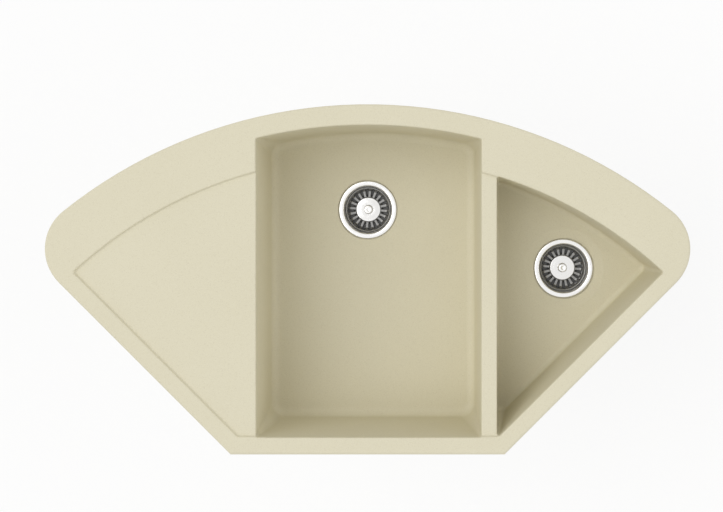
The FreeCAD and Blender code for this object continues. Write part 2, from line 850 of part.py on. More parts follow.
def clip_claw(place, outward):
    """A strip with a raised toe, stowed along the rim. It turns about its screw under the worktop."""
    end_r = (claw_inner + claw_outer) / 2
    middle = claw_outer - end_r
    heel = Part.makeCylinder(end_r, claw_t, FreeCAD.Vector(0, middle, 0), up)
    strip = Part.makeBox(claw_reach, 2 * end_r, claw_t, FreeCAD.Vector(0, -claw_inner, 0))
    toe_corner = FreeCAD.Vector(claw_reach - claw_toe, -claw_inner, 0)
    toe = Part.makeBox(claw_toe, 2 * end_r, claw_t + claw_rise, toe_corner)
    claw = strip.fuse([heel, toe]).removeSplitter()
    claw = claw.cut(Part.makeCylinder(clip_screw_r + clip_way, claw_t, FreeCAD.Vector(), up))
    return set_outward(claw, place, outward, claw_z)


def parts():
    """Every node by name."""
    made = {
        "sink_body": sink_body(),
        "rim_seal": rim_seal(),
        "clip_inserts": clip_inserts(),
        "clip_screws": clip_screws(),
        "link_pipe": link_pipe(),
        "tee_pipe": tee_pipe(),
        "outlet_pipe": outlet_pipe(),
        "trap_body": trap_body(),
        "trap_dip_tube": trap_dip_tube(),
        "trap_cup": trap_cup(),
        "trap_cup_seal": trap_cup_seal(),
    }
    for i, (place, outward) in enumerate(clip_places()):
        made[f"clip_claw_{i + 1}"] = clip_claw(place, outward)
    pieces = (strainer_cup, flange_gasket, floor_gasket, waste_body, centre_screw, basket_stopper, basket,
              basket_knob)
    for name, bowl in bowls.items():
        for piece in pieces:
            made[f"{name}_{piece.__name__}"] = lifted(piece(bowl["outlet"]), bowl)
    down = up * -1
    joints = {
        "main": (plan_point(main_outlet, mouth_z), down),
        "small": (plan_point(small_outlet, mouth_z + small_lift), down),
        "branch": (branch_mouth(), link_direction()),
        "trap": (plan_point(main_outlet, trap_mouth_z), up),
        "outlet": (outlet_mouth(), FreeCAD.Vector(0, 1, 0)),
    }
    for name, (mouth, direction) in joints.items():
        made[f"{name}_slip_nut"] = slip_nut(mouth, direction)
        made[f"{name}_cone_washer"] = cone_washer(mouth, direction)
    return made


if __name__ == "__main__":
    os.makedirs("parts", exist_ok=True)
    for name, shape in parts().items():
        shape.exportStep(f"parts/{name}.step")
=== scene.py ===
import json
import math

import bmesh
import bpy
from mathutils import Matrix, Vector


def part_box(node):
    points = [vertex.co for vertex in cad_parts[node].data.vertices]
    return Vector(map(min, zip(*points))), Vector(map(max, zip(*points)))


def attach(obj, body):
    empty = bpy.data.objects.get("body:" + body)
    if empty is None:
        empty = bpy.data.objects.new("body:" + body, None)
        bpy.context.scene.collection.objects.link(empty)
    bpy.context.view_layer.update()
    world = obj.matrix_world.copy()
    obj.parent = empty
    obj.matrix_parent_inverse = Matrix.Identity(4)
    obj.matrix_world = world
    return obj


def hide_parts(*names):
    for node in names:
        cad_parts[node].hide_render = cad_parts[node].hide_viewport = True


# Corner kitchen sink: finishes for the moulded body, the strainer wastes, the pipework and the clips,
# with the pressed and turned pieces modelled again where their small radii and slots show.
# Metres, in the frame of the part: +X right, +Y back, +Z up, z = 0 on the worktop.

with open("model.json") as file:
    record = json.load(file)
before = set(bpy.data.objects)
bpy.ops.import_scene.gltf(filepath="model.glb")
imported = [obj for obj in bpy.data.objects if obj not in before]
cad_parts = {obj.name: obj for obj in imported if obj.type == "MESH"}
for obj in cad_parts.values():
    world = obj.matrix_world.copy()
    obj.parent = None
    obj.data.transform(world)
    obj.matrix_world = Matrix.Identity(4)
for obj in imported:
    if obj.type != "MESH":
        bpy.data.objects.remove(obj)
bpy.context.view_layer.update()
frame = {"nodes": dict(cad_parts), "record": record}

MM = 0.001


# --- materials: small helpers ---

class Finish:
    """A material being built: its nodes, its object coordinates and its Principled shader."""

    def __init__(self, name):
        self.material = bpy.data.materials.new(name)
        self.material.use_nodes = True
        self.nodes = self.material.node_tree.nodes
        self.links = self.material.node_tree.links
        self.shader = self.nodes["Principled BSDF"]
        self.place = self.nodes.new("ShaderNodeTexCoord").outputs["Object"]

    def set(self, **values):
        """Set the shader's own sockets, such as Roughness or Coat_Weight."""
        for name, value in values.items():
            self.shader.inputs[name.replace("_", " ")].default_value = value
        return self

    def add(self, kind, inputs, **settings):
        return add_node(self.material.node_tree, kind, inputs, settings)

    def group(self, tree, **inputs):
        """Place a shared effect and feed its sockets."""
        node = self.nodes.new("ShaderNodeGroup")
        node.node_tree = tree
        feed(self.links, node, {name.replace("_", " "): value for name, value in inputs.items()})
        return node.outputs

    def feed_shader(self, name, source):
        self.links.new(source, self.shader.inputs[name])

    def mix(self, mask, first, second):
        """A colour between two, by a mask."""
        node = self.nodes.new("ShaderNodeMix")
        node.data_type = "RGBA"
        feed(self.links, node, {0: mask, 6: first, 7: second})
        return node.outputs[2]

    def bump(self, height, distance, strength=1.0):
        """Feed the shader's normal from a height, in metres of distance."""
        node = self.add("ShaderNodeBump", {"Height": height, "Distance": distance, "Strength": strength})
        self.feed_shader("Normal", node.outputs["Normal"])
        return self

    def centred(self, centre, turn=(0, 0, 0)):
        """Object coordinates measured from a centre, turned so that +Z is a piece's axis."""
        node = self.add("ShaderNodeVectorMath", {0: self.place, 1: centre}, operation="SUBTRACT")
        turned = self.add("ShaderNodeVectorRotate", {"Vector": node.outputs[0], "Rotation": turn},
                          rotation_type="EULER_XYZ")
        return turned.outputs[0]


def feed(links, node, inputs):
    for name, value in inputs.items():
        if isinstance(value, bpy.types.NodeSocket):
            links.new(value, node.inputs[name])
        else:
            node.inputs[name].default_value = value


def add_node(tree, kind, inputs, settings):
    node = tree.nodes.new(kind)
    for name, value in settings.items():
        setattr(node, name, value)
    feed(tree.links, node, inputs)
    return node


class Effect:
    """A shared shader group with named inputs and outputs."""

    def __init__(self, name, inputs, outputs):
        self.tree = bpy.data.node_groups.new(name, "ShaderNodeTree")
        for label, (kind, value) in inputs.items():
            socket = self.tree.interface.new_socket(label, in_out="INPUT", socket_type=kind)
            if value is not None:
                socket.default_value = value
        for label, kind in outputs.items():
            self.tree.interface.new_socket(label, in_out="OUTPUT", socket_type=kind)
        self.inputs = self.tree.nodes.new("NodeGroupInput").outputs
        self.outputs = self.tree.nodes.new("NodeGroupOutput").inputs

    def add(self, kind, inputs, **settings):
        return add_node(self.tree, kind, inputs, settings)

    def math(self, operation, first, second=0.0, clamp=False):
        node = self.add("ShaderNodeMath", {0: first, 1: second}, operation=operation, use_clamp=clamp)
        return node.outputs[0]

    def give(self, name, source):
        self.tree.links.new(source, self.outputs[name])

    def remap(self, value, low, high, to_low=0.0, to_high=1.0):
        node = self.add("ShaderNodeMapRange", {"Value": value, "From Min": low, "From Max": high,
                                               "To Min": to_low, "To Max": to_high})
        return node.outputs["Result"]


VECTOR = ("NodeSocketVector", None)
FLOAT = "NodeSocketFloat"


def grain_effect():
    """Granules pressed together: a random tone for each, and the height of their rounded tops."""
    effect = Effect("granules", {"Vector": VECTOR, "Size": (FLOAT, 0.0006)},
                    {"Tone": FLOAT, "Height": FLOAT})
    scale = effect.math("DIVIDE", 1.0, effect.inputs["Size"])
    cells = effect.add("ShaderNodeTexVoronoi", {"Vector": effect.inputs["Vector"], "Scale": scale})
    split = effect.add("ShaderNodeSeparateColor", {0: cells.outputs["Color"]})
    effect.give("Tone", split.outputs[0])
    effect.give("Height", effect.math("SUBTRACT", 1.0, cells.outputs["Distance"]))
    return effect.tree


def cloud_effect():
    """Slow, soft variation between 0 and 1."""
    effect = Effect("clouds", {"Vector": VECTOR, "Size": (FLOAT, 0.1), "Detail": (FLOAT, 2.0)},
                    {"Value": FLOAT})
    scale = effect.math("DIVIDE", 1.0, effect.inputs["Size"])
    noise = effect.add("ShaderNodeTexNoise", {"Vector": effect.inputs["Vector"], "Scale": scale,
                                              "Detail": effect.inputs["Detail"]})
    effect.give("Value", effect.remap(noise.outputs["Fac"], 0.3, 0.7))
    return effect.tree


def turning_effect():
    """Fine rings round an axis, as a lathe or a polishing wheel leaves them."""
    effect = Effect("turning_marks", {"Vector": VECTOR, "Pitch": (FLOAT, 0.0004)}, {"Value": FLOAT})
    split = effect.add("ShaderNodeSeparateXYZ", {0: effect.inputs["Vector"]})
    x, y, z = split.outputs
    square = effect.math("ADD", effect.math("MULTIPLY", x, x), effect.math("MULTIPLY", y, y))
    radius = effect.math("SQRT", square)
    along = effect.add("ShaderNodeCombineXYZ", {0: radius, 1: z, 2: 0.0})
    scale = effect.math("DIVIDE", 1.0, effect.inputs["Pitch"])
    noise = effect.add("ShaderNodeTexNoise", {"Vector": along.outputs[0], "Scale": scale, "Detail": 1.0})
    effect.give("Value", effect.remap(noise.outputs["Fac"], 0.25, 0.75))
    return effect.tree


def dust_effect():
    """A mask that is strong on faces that look up and patchy elsewhere."""
    effect = Effect("settled_dust", {"Vector": VECTOR, "Size": (FLOAT, 0.02), "Amount": (FLOAT, 0.5)},
                    {"Mask": FLOAT})
    geometry = effect.add("ShaderNodeNewGeometry", {})
    split = effect.add("ShaderNodeSeparateXYZ", {0: geometry.outputs["Normal"]})
    up = effect.remap(split.outputs[2], 0.1, 0.95)
    scale = effect.math("DIVIDE", 1.0, effect.inputs["Size"])
    noise = effect.add("ShaderNodeTexNoise", {"Vector": effect.inputs["Vector"], "Scale": scale,
                                              "Detail": 4.0})
    patchy = effect.remap(noise.outputs["Fac"], 0.35, 0.65, 0.35, 1.0)
    effect.give("Mask", effect.math("MULTIPLY", effect.math("MULTIPLY", up, patchy),
                                    effect.inputs["Amount"]))
    return effect.tree


def wear_effect():
    """A thin line along sharp outer edges, broken by noise."""
    effect = Effect("edge_rub", {"Vector": VECTOR, "Width": (FLOAT, 0.0005), "Size": (FLOAT, 0.004)},
                    {"Mask": FLOAT})
    rounded = effect.add("ShaderNodeBevel", {"Radius": effect.inputs["Width"]}, samples=4)
    geometry = effect.add("ShaderNodeNewGeometry", {})
    dot = effect.add("ShaderNodeVectorMath", {0: rounded.outputs[0], 1: geometry.outputs["Normal"]},
                     operation="DOT_PRODUCT")
    edge = effect.remap(dot.outputs["Value"], 0.985, 0.85)
    scale = effect.math("DIVIDE", 1.0, effect.inputs["Size"])
    noise = effect.add("ShaderNodeTexNoise", {"Vector": effect.inputs["Vector"], "Scale": scale,
                                              "Detail": 3.0})
    patchy = effect.remap(noise.outputs["Fac"], 0.4, 0.6, 0.3, 1.0)
    effect.give("Mask", effect.math("MULTIPLY", edge, patchy))
    return effect.tree


def band_effect():
    """A mask between two radii from the axis through the origin of a vector."""
    effect = Effect("band", {"Vector": VECTOR, "From": (FLOAT, 0.0), "To": (FLOAT, 1.0)}, {"Mask": FLOAT})
    level = effect.add("ShaderNodeVectorMath", {0: effect.inputs["Vector"], 1: (1, 1, 0)},
                       operation="MULTIPLY")
    radius = effect.add("ShaderNodeVectorMath", {0: level.outputs[0]}, operation="LENGTH").outputs["Value"]
    past = effect.math("GREATER_THAN", radius, effect.inputs["From"])
    before = effect.math("LESS_THAN", radius, effect.inputs["To"])
    effect.give("Mask", effect.math("MULTIPLY", past, before))
    return effect.tree


granules = grain_effect()
clouds = cloud_effect()
turning_marks = turning_effect()
settled_dust = dust_effect()
edge_rub = wear_effect()
band = band_effect()


# --- materials: the finishes ---

def cream_composite():
    """Matte cream granite composite: quartz grain in resin, a shade warmer in places."""
    finish = Finish("cream_composite").set(Roughness=0.55, Specular_IOR_Level=0.35)
    cloud = finish.group(clouds, Vector=finish.place, Size=0.18)["Value"]
    grain = finish.group(granules, Vector=finish.place, Size=0.0007)
    coarse = finish.group(granules, Vector=finish.place, Size=0.0011)
    base = finish.mix(cloud, (0.685, 0.640, 0.478, 1), (0.705, 0.660, 0.498, 1))
    pale = finish.add("ShaderNodeMath", {0: grain["Tone"], 1: 0.72}, operation="GREATER_THAN").outputs[0]
    dark = finish.add("ShaderNodeMath", {0: coarse["Tone"], 1: 0.08}, operation="LESS_THAN").outputs[0]
    pale_part = finish.add("ShaderNodeMath", {0: pale, 1: 0.25}, operation="MULTIPLY").outputs[0]
    dark_part = finish.add("ShaderNodeMath", {0: dark, 1: 0.20}, operation="MULTIPLY").outputs[0]
    tone = finish.mix(pale_part, base, (0.80, 0.765, 0.62, 1))
    tone = finish.mix(dark_part, tone, (0.50, 0.44, 0.31, 1))
    finish.feed_shader("Base Color", tone)
    rough = finish.add("ShaderNodeMapRange", {"Value": cloud, "To Min": 0.50, "To Max": 0.62})
    finish.feed_shader("Roughness", rough.outputs[0])
    return finish.bump(grain["Height"], 0.00006, 0.5).material


def turned_steel(name, centre, bright, satin_shade_bands=()):
    """Stainless steel, polished bright, and satin in bands round the waste's axis, where a darker grey is
    painted shade and painted dark reflection.

    bright is (level of grey, roughness); a band adds the two radii that it lies between."""
    finish = Finish(name).set(Metallic=1.0, Roughness=bright[1])
    place = finish.centred(centre)
    rings = finish.group(turning_marks, Vector=place, Pitch=0.00035)["Value"]
    cloud = finish.group(clouds, Vector=finish.place, Size=0.012)["Value"]
    tone = finish.mix(rings, steel_tint(0.94 * bright[0]), steel_tint(bright[0]))
    rough = finish.add("ShaderNodeMapRange", {"Value": cloud, "To Min": bright[1] * 0.8,
                                              "To Max": bright[1] * 1.3}).outputs[0]
    for level, dull_rough, inner, outer in satin_shade_bands:
        inside = finish.group(band, Vector=place, From=inner, To=outer)["Mask"]
        # painted shade: in each band the steel's colour is darkened to stand for shade and the dark things it
        # reflects, while its roughness is the real satin finish
        painted_shade_tone = finish.mix(rings, steel_tint(0.8 * level), steel_tint(level))
        tone = finish.mix(inside, tone, painted_shade_tone)
        rough = finish.add("ShaderNodeMix", {0: inside, 2: rough, 3: dull_rough}).outputs[0]
    finish.feed_shader("Base Color", tone)
    finish.feed_shader("Roughness", rough)
    return finish.bump(rings, 0.00002, 0.4).material


def steel_tint(level):
    return (level, 0.99 * level, 0.97 * level, 1)


def black_rubber():
    finish = Finish("black_rubber").set(Roughness=0.6, Specular_IOR_Level=0.4)
    cloud = finish.group(clouds, Vector=finish.place, Size=0.008, Detail=4.0)["Value"]
    grain = finish.group(granules, Vector=finish.place, Size=0.0004)
    dust = finish.group(settled_dust, Vector=finish.place, Size=0.006, Amount=0.25)["Mask"]
    tone = finish.mix(cloud, (0.018, 0.018, 0.019, 1), (0.034, 0.034, 0.034, 1))
    finish.feed_shader("Base Color", finish.mix(dust, tone, (0.12, 0.115, 0.10, 1)))
    rough = finish.add("ShaderNodeMapRange", {"Value": cloud, "To Min": 0.5, "To Max": 0.75})
    finish.feed_shader("Roughness", rough.outputs[0])
    return finish.bump(grain["Height"], 0.00003, 0.5).material


def grey_foam():
    """Closed-cell foam tape."""
    finish = Finish("grey_foam").set(Roughness=0.9)
    cells = finish.group(granules, Vector=finish.place, Size=0.0008)
    tone = finish.mix(cells["Tone"], (0.10, 0.10, 0.105, 1), (0.20, 0.20, 0.20, 1))
    finish.feed_shader("Base Color", tone)
    return finish.bump(cells["Height"], 0.0002, 0.8).material


def moulded_plastic(name, light, dark, roughness):
    """Injection-moulded polypropylene: faint flow marks, a fine spark-eroded skin and some dust."""
    finish = Finish(name).set(Roughness=roughness, Specular_IOR_Level=0.45)
    finish.set(Subsurface_Weight=0.05, Subsurface_Radius=(0.004, 0.004, 0.003))
    flow = finish.group(clouds, Vector=finish.place, Size=0.05, Detail=3.0)["Value"]
    skin = finish.group(granules, Vector=finish.place, Size=0.0005)
    dust = finish.group(settled_dust, Vector=finish.place, Size=0.015, Amount=0.35)["Mask"]
    tone = finish.mix(flow, (*dark, 1), (*light, 1))
    finish.feed_shader("Base Color", finish.mix(dust, tone, (0.50, 0.47, 0.41, 1)))
    rough = finish.add("ShaderNodeMapRange", {"Value": flow, "To Min": roughness - 0.05,
                                              "To Max": roughness + 0.08})
    finish.feed_shader("Roughness", rough.outputs[0])
    return finish.bump(skin["Height"], 0.00003, 0.5).material


def zinc_plate():
    """Zinc-plated pressed steel, rubbed along its edges."""
    finish = Finish("zinc_plate").set(Metallic=1.0, Roughness=0.38)
    cloud = finish.group(clouds, Vector=finish.place, Size=0.004, Detail=4.0)["Value"]
    rub = finish.group(edge_rub, Vector=finish.place)["Mask"]
    tone = finish.mix(cloud, (0.50, 0.50, 0.46, 1), (0.66, 0.66, 0.64, 1))
    finish.feed_shader("Base Color", finish.mix(rub, tone, (0.78, 0.77, 0.74, 1)))
    rough = finish.add("ShaderNodeMapRange", {"Value": cloud, "To Min": 0.30, "To Max": 0.48})
    finish.feed_shader("Roughness", rough.outputs[0])
    return finish.bump(cloud, 0.00002, 0.4).material


def plain_brass():
    finish = Finish("plain_brass").set(Metallic=1.0, Roughness=0.35)
    cloud = finish.group(clouds, Vector=finish.place, Size=0.003, Detail=4.0)["Value"]
    finish.feed_shader("Base Color", finish.mix(cloud, (0.62, 0.43, 0.16, 1), (0.80, 0.60, 0.27, 1)))
    return finish.bump(cloud, 0.00002, 0.4).material


def middle(node):
    low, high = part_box(node)
    return (low + high) / 2


# --- finishes on the CAD nodes ---

slot_of = {part["node"]: part["material_slot"] for part in frame["record"]["subparts"]}
finish_of = {
    "composite": cream_composite(),
    "rubber": black_rubber(),
    "foam": grey_foam(),
    "white_plastic": moulded_plastic("white_plastic", (0.80, 0.80, 0.77), (0.74, 0.74, 0.70), 0.38),
    "nut_plastic": moulded_plastic("nut_plastic", (0.55, 0.56, 0.57), (0.48, 0.49, 0.50), 0.42),
    "clip_steel": zinc_plate(),
    "brass": plain_brass(),
}


def strainer_finishes(bowl):
    """The steels of one bowl's strainer, each turned about its own axis."""
    centre = middle(f"{bowl}_strainer_cup")
    axis = (centre.x, centre.y, 0.0)
    # Each band: grey level, roughness, inner and outer radius. The roughness is the satin finish, and the
    # grey levels are painted shade and painted dark reflection, darkest on the cup's floor.
    cup_bands = ((0.12, 0.50, 0.0, 0.0365), (0.75, 0.50, 0.0365, 0.0430))
    basket_bands = ((0.34, 0.48, 0.0218, 0.0342), (0.38, 0.48, 0.0342, 0.0600))
    return {
        "strainer_steel": turned_steel(f"{bowl}_strainer_steel", axis, (0.90, 0.18), cup_bands),
        "basket_steel": turned_steel(f"{bowl}_basket_steel", axis, (0.84, 0.18), basket_bands),
        "knob_chrome": turned_steel(f"{bowl}_knob_chrome", axis, (0.90, 0.25)),
    }


strainers = {bowl: strainer_finishes(bowl) for bowl in ("main", "small")}


def finish_for(node):
    slot = slot_of[node]
    bowl = node.split("_")[0]
    return finish_of[slot] if slot in finish_of else strainers[bowl][slot]


for name, part in frame["nodes"].items():
    part.data.materials.clear()
    part.data.materials.append(finish_for(name))


# --- pieces: helpers ---

def chain(form, points):
    """Edges through (radius, height) points in mm, in the plane y = 0."""
    ends = [form.verts.new((r * MM, 0, z * MM)) for r, z in points]
    for first, second in zip(ends, ends[1:]):
        form.edges.new((first, second))
    return ends


def ease(form, corners, radius, segments=3):
    """Round the corners of a chain before it is spun."""
    bmesh.ops.bevel(form, geom=corners, affect="VERTICES", offset=radius * MM, segments=segments,
                    profile=0.5, material=-1)


def revolve(form, steps):
    """Spin a chain a full turn about +Z."""
    bmesh.ops.spin(form, geom=form.verts[:] + form.edges[:], cent=(0, 0, 0), axis=(0, 0, 1),
                   angle=2 * math.pi, steps=steps, use_merge=True)
    bmesh.ops.remove_doubles(form, verts=form.verts, dist=0.01 * MM)
    bmesh.ops.recalc_face_normals(form, faces=form.faces)


def place_form(form, place, axis=(0, 0, 1)):
    """Move a form from the origin to its place, with its +Z along an axis."""
    turn = Vector((0, 0, 1)).rotation_difference(Vector(axis)).to_matrix().to_4x4()
    bmesh.ops.transform(form, matrix=Matrix.Translation(place) @ turn, verts=form.verts)


def publish(form, name, body, material, nodes=()):
    """Make a form into a smooth-shaded piece that rides on a body and may replace CAD nodes."""
    mesh = bpy.data.meshes.new(name)
    form.to_mesh(mesh)
    form.free()
    mesh.materials.append(material)
    mesh.shade_smooth()
    piece = bpy.data.objects.new(name, mesh)
    bpy.context.scene.collection.objects.link(piece)
    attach(piece, body)
    if nodes:
        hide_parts(*nodes)
    return piece


def sheet_metal(piece, thickness, offset):
    """Give a pressed face its thickness, then soften it."""
    wall = piece.modifiers.new("wall", "SOLIDIFY")
    wall.thickness = thickness * MM
    wall.offset = offset
    soften(piece, 1)


def soften(piece, levels):
    smooth = piece.modifiers.new("smooth", "SUBSURF")
    smooth.levels = levels
    smooth.render_levels = levels


# --- pieces: strainers ---

SHEET = 1.2
STEM_HOLE_R = 3.3                  # for the centre screw and the knob's stem
DRAIN_COUNT = 8
DRAIN_BAND = (12.2, 21.8)          # rings of the cup's floor that a hole opens between
DRAIN_RING_R = 17.0
DRAIN_R = 4.6
SLOT_COUNT = 20
SLOT_REACH = (22.9, 35.3)          # from the axis, over the floor of the basket and up its wall
SLOT_SHARE = 0.5                 # of the ring that the slots take


def bowl_axis(bowl, z):
    low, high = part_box(f"{bowl}_strainer_cup")
    return Vector(((low.x + high.x) / 2, (low.y + high.y) / 2, z))


def cup_pressing(bowl):
    """The cup with its domed flange, curled at the edge, and the ring of holes in its floor."""
    low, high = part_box(f"{bowl}_strainer_cup")
    depth = (high.z - low.z) / MM - SHEET
    outer = (high.x - low.x) / 2 / MM
    form = bmesh.new()
    ends = chain(form, [(STEM_HOLE_R, 0), (9.0, 0), (DRAIN_BAND[0], 0), (DRAIN_BAND[1], 0), (30.0, 0),
                        (38.4, 0), (42.9, depth - 0.6), (47.0, depth), (outer - 0.9, depth - 0.25),
                        (outer - 0.35, depth - 1.1)])
    ease(form, [ends[5]], 3.0)
    ease(form, [ends[6]], 1.6)
    ease(form, ends[7:9], 0.8, 2)
    revolve(form, 64)
    for face in form.faces:
        if face.normal.z < -0.01:
            face.normal_flip()
    open_drain_holes(form)
    place_form(form, bowl_axis(bowl, low.z + SHEET * MM))
    piece = publish(form, f"{bowl}_cup_pressing", "sink", strainers[bowl]["strainer_steel"],
                    [f"{bowl}_strainer_cup"])
    sheet_metal(piece, SHEET - 0.1, -1)


def open_drain_holes(form):
    """Round holes in the floor: faces are taken out, and the edges left are drawn into circles."""
    inner, outer = (r * MM for r in DRAIN_BAND)
    gone = []
    for face in form.faces:
        middle = face.calc_center_median()
        step = turn_of(middle) * DRAIN_COUNT
        if inner < middle.xy.length < outer and abs(step - round(step)) < 0.26:
            gone.append(face)
    bmesh.ops.delete(form, geom=gone, context="FACES")
    slack = 0.2 * MM
    for vert in form.verts:
        if not vert.is_boundary or not inner - slack < vert.co.xy.length < outer + slack:
            continue
        turn = round(turn_of(vert.co) * DRAIN_COUNT) * 2 * math.pi / DRAIN_COUNT
        centre = Vector((math.cos(turn), math.sin(turn), 0)) * DRAIN_RING_R * MM
        centre.z = vert.co.z
        vert.co = centre + (vert.co - centre).normalized() * DRAIN_R * MM


def turn_of(point):
    """Where a point lies round the axis, in turns."""
    return math.atan2(point.y, point.x) / (2 * math.pi)


def basket_pressing(bowl):
    """The lift-out basket: a stepped disc, radial slots over the floor and wall, and a curled rim."""
    low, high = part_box(f"{bowl}_basket")
    rim = (high.z - low.z) / MM
    outer = (high.x - low.x) / 2 / MM
    inner_slot, outer_slot = SLOT_REACH
    form = bmesh.new()
    ends = chain(form, [(STEM_HOLE_R, 3.4), (14.8, 3.7), (16.0, 3.3), (21.2, 3.3), (22.6, SHEET),
                        (inner_slot, SHEET), (33.4, SHEET), (outer_slot, 5.2), (38.0, rim - 1.0),
                        (outer - 0.5, rim - 0.05), (outer - 0.1, rim - 0.9)])
    ease(form, [ends[3], ends[4]], 0.5, 2)
    ease(form, [ends[6]], 1.5)
    ease(form, [ends[8], ends[9]], 0.4, 2)
    revolve(form, 8 * SLOT_COUNT)
    for face in form.faces:
        if face.normal.z < 0:
            face.normal_flip()
    gone = []
    for face in form.faces:
        middle = face.calc_center_median()
        step = turn_of(middle) * SLOT_COUNT % 1.0
        if inner_slot * MM < middle.xy.length < outer_slot * MM and step < SLOT_SHARE:
            gone.append(face)
    bmesh.ops.delete(form, geom=gone, context="FACES")
    place_form(form, bowl_axis(bowl, low.z))
    piece = publish(form, f"{bowl}_basket_pressing", f"{bowl}_basket_unit",
                    strainers[bowl]["basket_steel"], [f"{bowl}_basket"])
    sheet_metal(piece, SHEET - 0.2, -1)


def knob_turning(bowl):
    """The knob: a washer, a waist and a dished head."""
    low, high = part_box(f"{bowl}_basket_knob")
    height = (high.z - low.z) / MM
    outer = (high.x - low.x) / 2 / MM
    form = bmesh.new()
    ends = chain(form, [(0, 0), (2.9, 0), (2.9, SHEET), (6.4, SHEET), (6.4, SHEET + 0.7), (4.4, SHEET + 1.5),
                        (4.0, SHEET + 3.0), (outer, SHEET + 4.4), (outer, height - 1.1),
                        (outer - 0.9, height - 0.2), (3.6, height), (2.2, height - 0.7), (0, height - 0.9)])
    ease(form, ends[4:11], 0.35, 2)
    revolve(form, 40)
    place_form(form, bowl_axis(bowl, low.z))
    publish(form, f"{bowl}_knob_turning", f"{bowl}_basket_unit",
            strainers[bowl]["knob_chrome"], [f"{bowl}_basket_knob"])


for bowl in ("main", "small"):
    cup_pressing(bowl)
    basket_pressing(bowl)
    knob_turning(bowl)


# --- pieces: threads on the sockets ---

THREAD_PITCH = 4.0
THREAD_RISE = 0.9
SOCKET_R = 23.9
SOCKET_THREAD = 12.0               # what shows of it past the nut
THREAD_FROM_END = 27.5             # of the socket, to the first turn


def socket_thread(name, start, axis, radius, length):
    """A rounded buttress thread that winds along an axis from a start."""
    half = THREAD_PITCH * 0.36
    form = bmesh.new()
    section = [form.verts.new((r * MM, 0, z * MM)) for r, z in
               ((radius - 0.2, -half), (radius + THREAD_RISE, -half * 0.35),
                (radius + THREAD_RISE, half * 0.35), (radius - 0.2, half))]
    face = form.faces.new(section)
    turns = (length - 2 * half) / THREAD_PITCH
    steps = int(turns * 40)
    bmesh.ops.spin(form, geom=[face], cent=(0, 0, 0), axis=(0, 0, 1), angle=turns * 2 * math.pi, steps=steps,
                   dvec=(0, 0, turns * THREAD_PITCH * MM / steps), use_merge=False)
    bmesh.ops.recalc_face_normals(form, faces=form.faces)
    bmesh.ops.translate(form, verts=form.verts, vec=(0, 0, half * MM))
    place_form(form, start, axis)
    publish(form, name, "sink", finish_of["white_plastic"])


for name, bowl, node, end in (("main_waste_thread", "main", "main_waste_body", 0),
                              ("small_waste_thread", "small", "small_waste_body", 0),
                              ("trap_inlet_thread", "main", "trap_body", 1)):
    outward = 1 if end else -1
    first_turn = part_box(node)[end].z - outward * THREAD_FROM_END * MM
    socket_thread(name, bowl_axis(bowl, first_turn), (0, 0, outward), SOCKET_R, SOCKET_THREAD)


# --- pieces: moulded and pressed parts with their edges eased ---

CLAW_EDGE = 0.35
PIPE_EDGE = 0.5
SOCKET_EDGE = 0.6
TRAP_EDGE = 0.8
SHARP = math.radians(35)


def eased_copy(node, width, body="sink"):
    """A copy of a CAD node with its sharp edges rounded, in the node's place."""
    form = bmesh.new()
    form.from_mesh(frame["nodes"][node].data)
    bmesh.ops.remove_doubles(form, verts=form.verts, dist=0.002 * MM)
    bmesh.ops.dissolve_limit(form, angle_limit=math.radians(1), verts=form.verts, edges=form.edges,
                             use_dissolve_boundaries=False)
    sharp = [edge for edge in form.edges if edge.is_manifold and edge.calc_face_angle() > SHARP]
    bmesh.ops.bevel(form, geom=sharp, affect="EDGES", offset=width * MM, segments=2, profile=0.5, material=-1,
                    clamp_overlap=True)
    piece = publish(form, f"{node}_eased", body, finish_for(node), [node])
    piece.modifiers.new("flat_faces", "WEIGHTED_NORMAL")


for name in frame["nodes"]:
    if name.startswith("clip_claw_"):
        eased_copy(name, CLAW_EDGE, name.replace("clip_", ""))
    elif name.endswith("_slip_nut"):
        eased_copy(name, PIPE_EDGE)
    elif name.endswith("_waste_body"):
        eased_copy(name, SOCKET_EDGE)
eased_copy("trap_body", TRAP_EDGE)
eased_copy("trap_cup", TRAP_EDGE, "trap_cup_unit")
eased_copy("tee_pipe", SOCKET_EDGE)
eased_copy("outlet_pipe", PIPE_EDGE)


# --- pieces: clip screws ---

SCREW_R = 2.4
SCREW_HEAD_R = 4.0
SCREW_HEAD = 2.9
CROSS_CELL = 0.88                  # the cross recess is three of these cells wide, on a grid of five
CROSS_DEPTH = 1.7
SCREW_PITCH = 0.8
SCREW_SIDES = 20


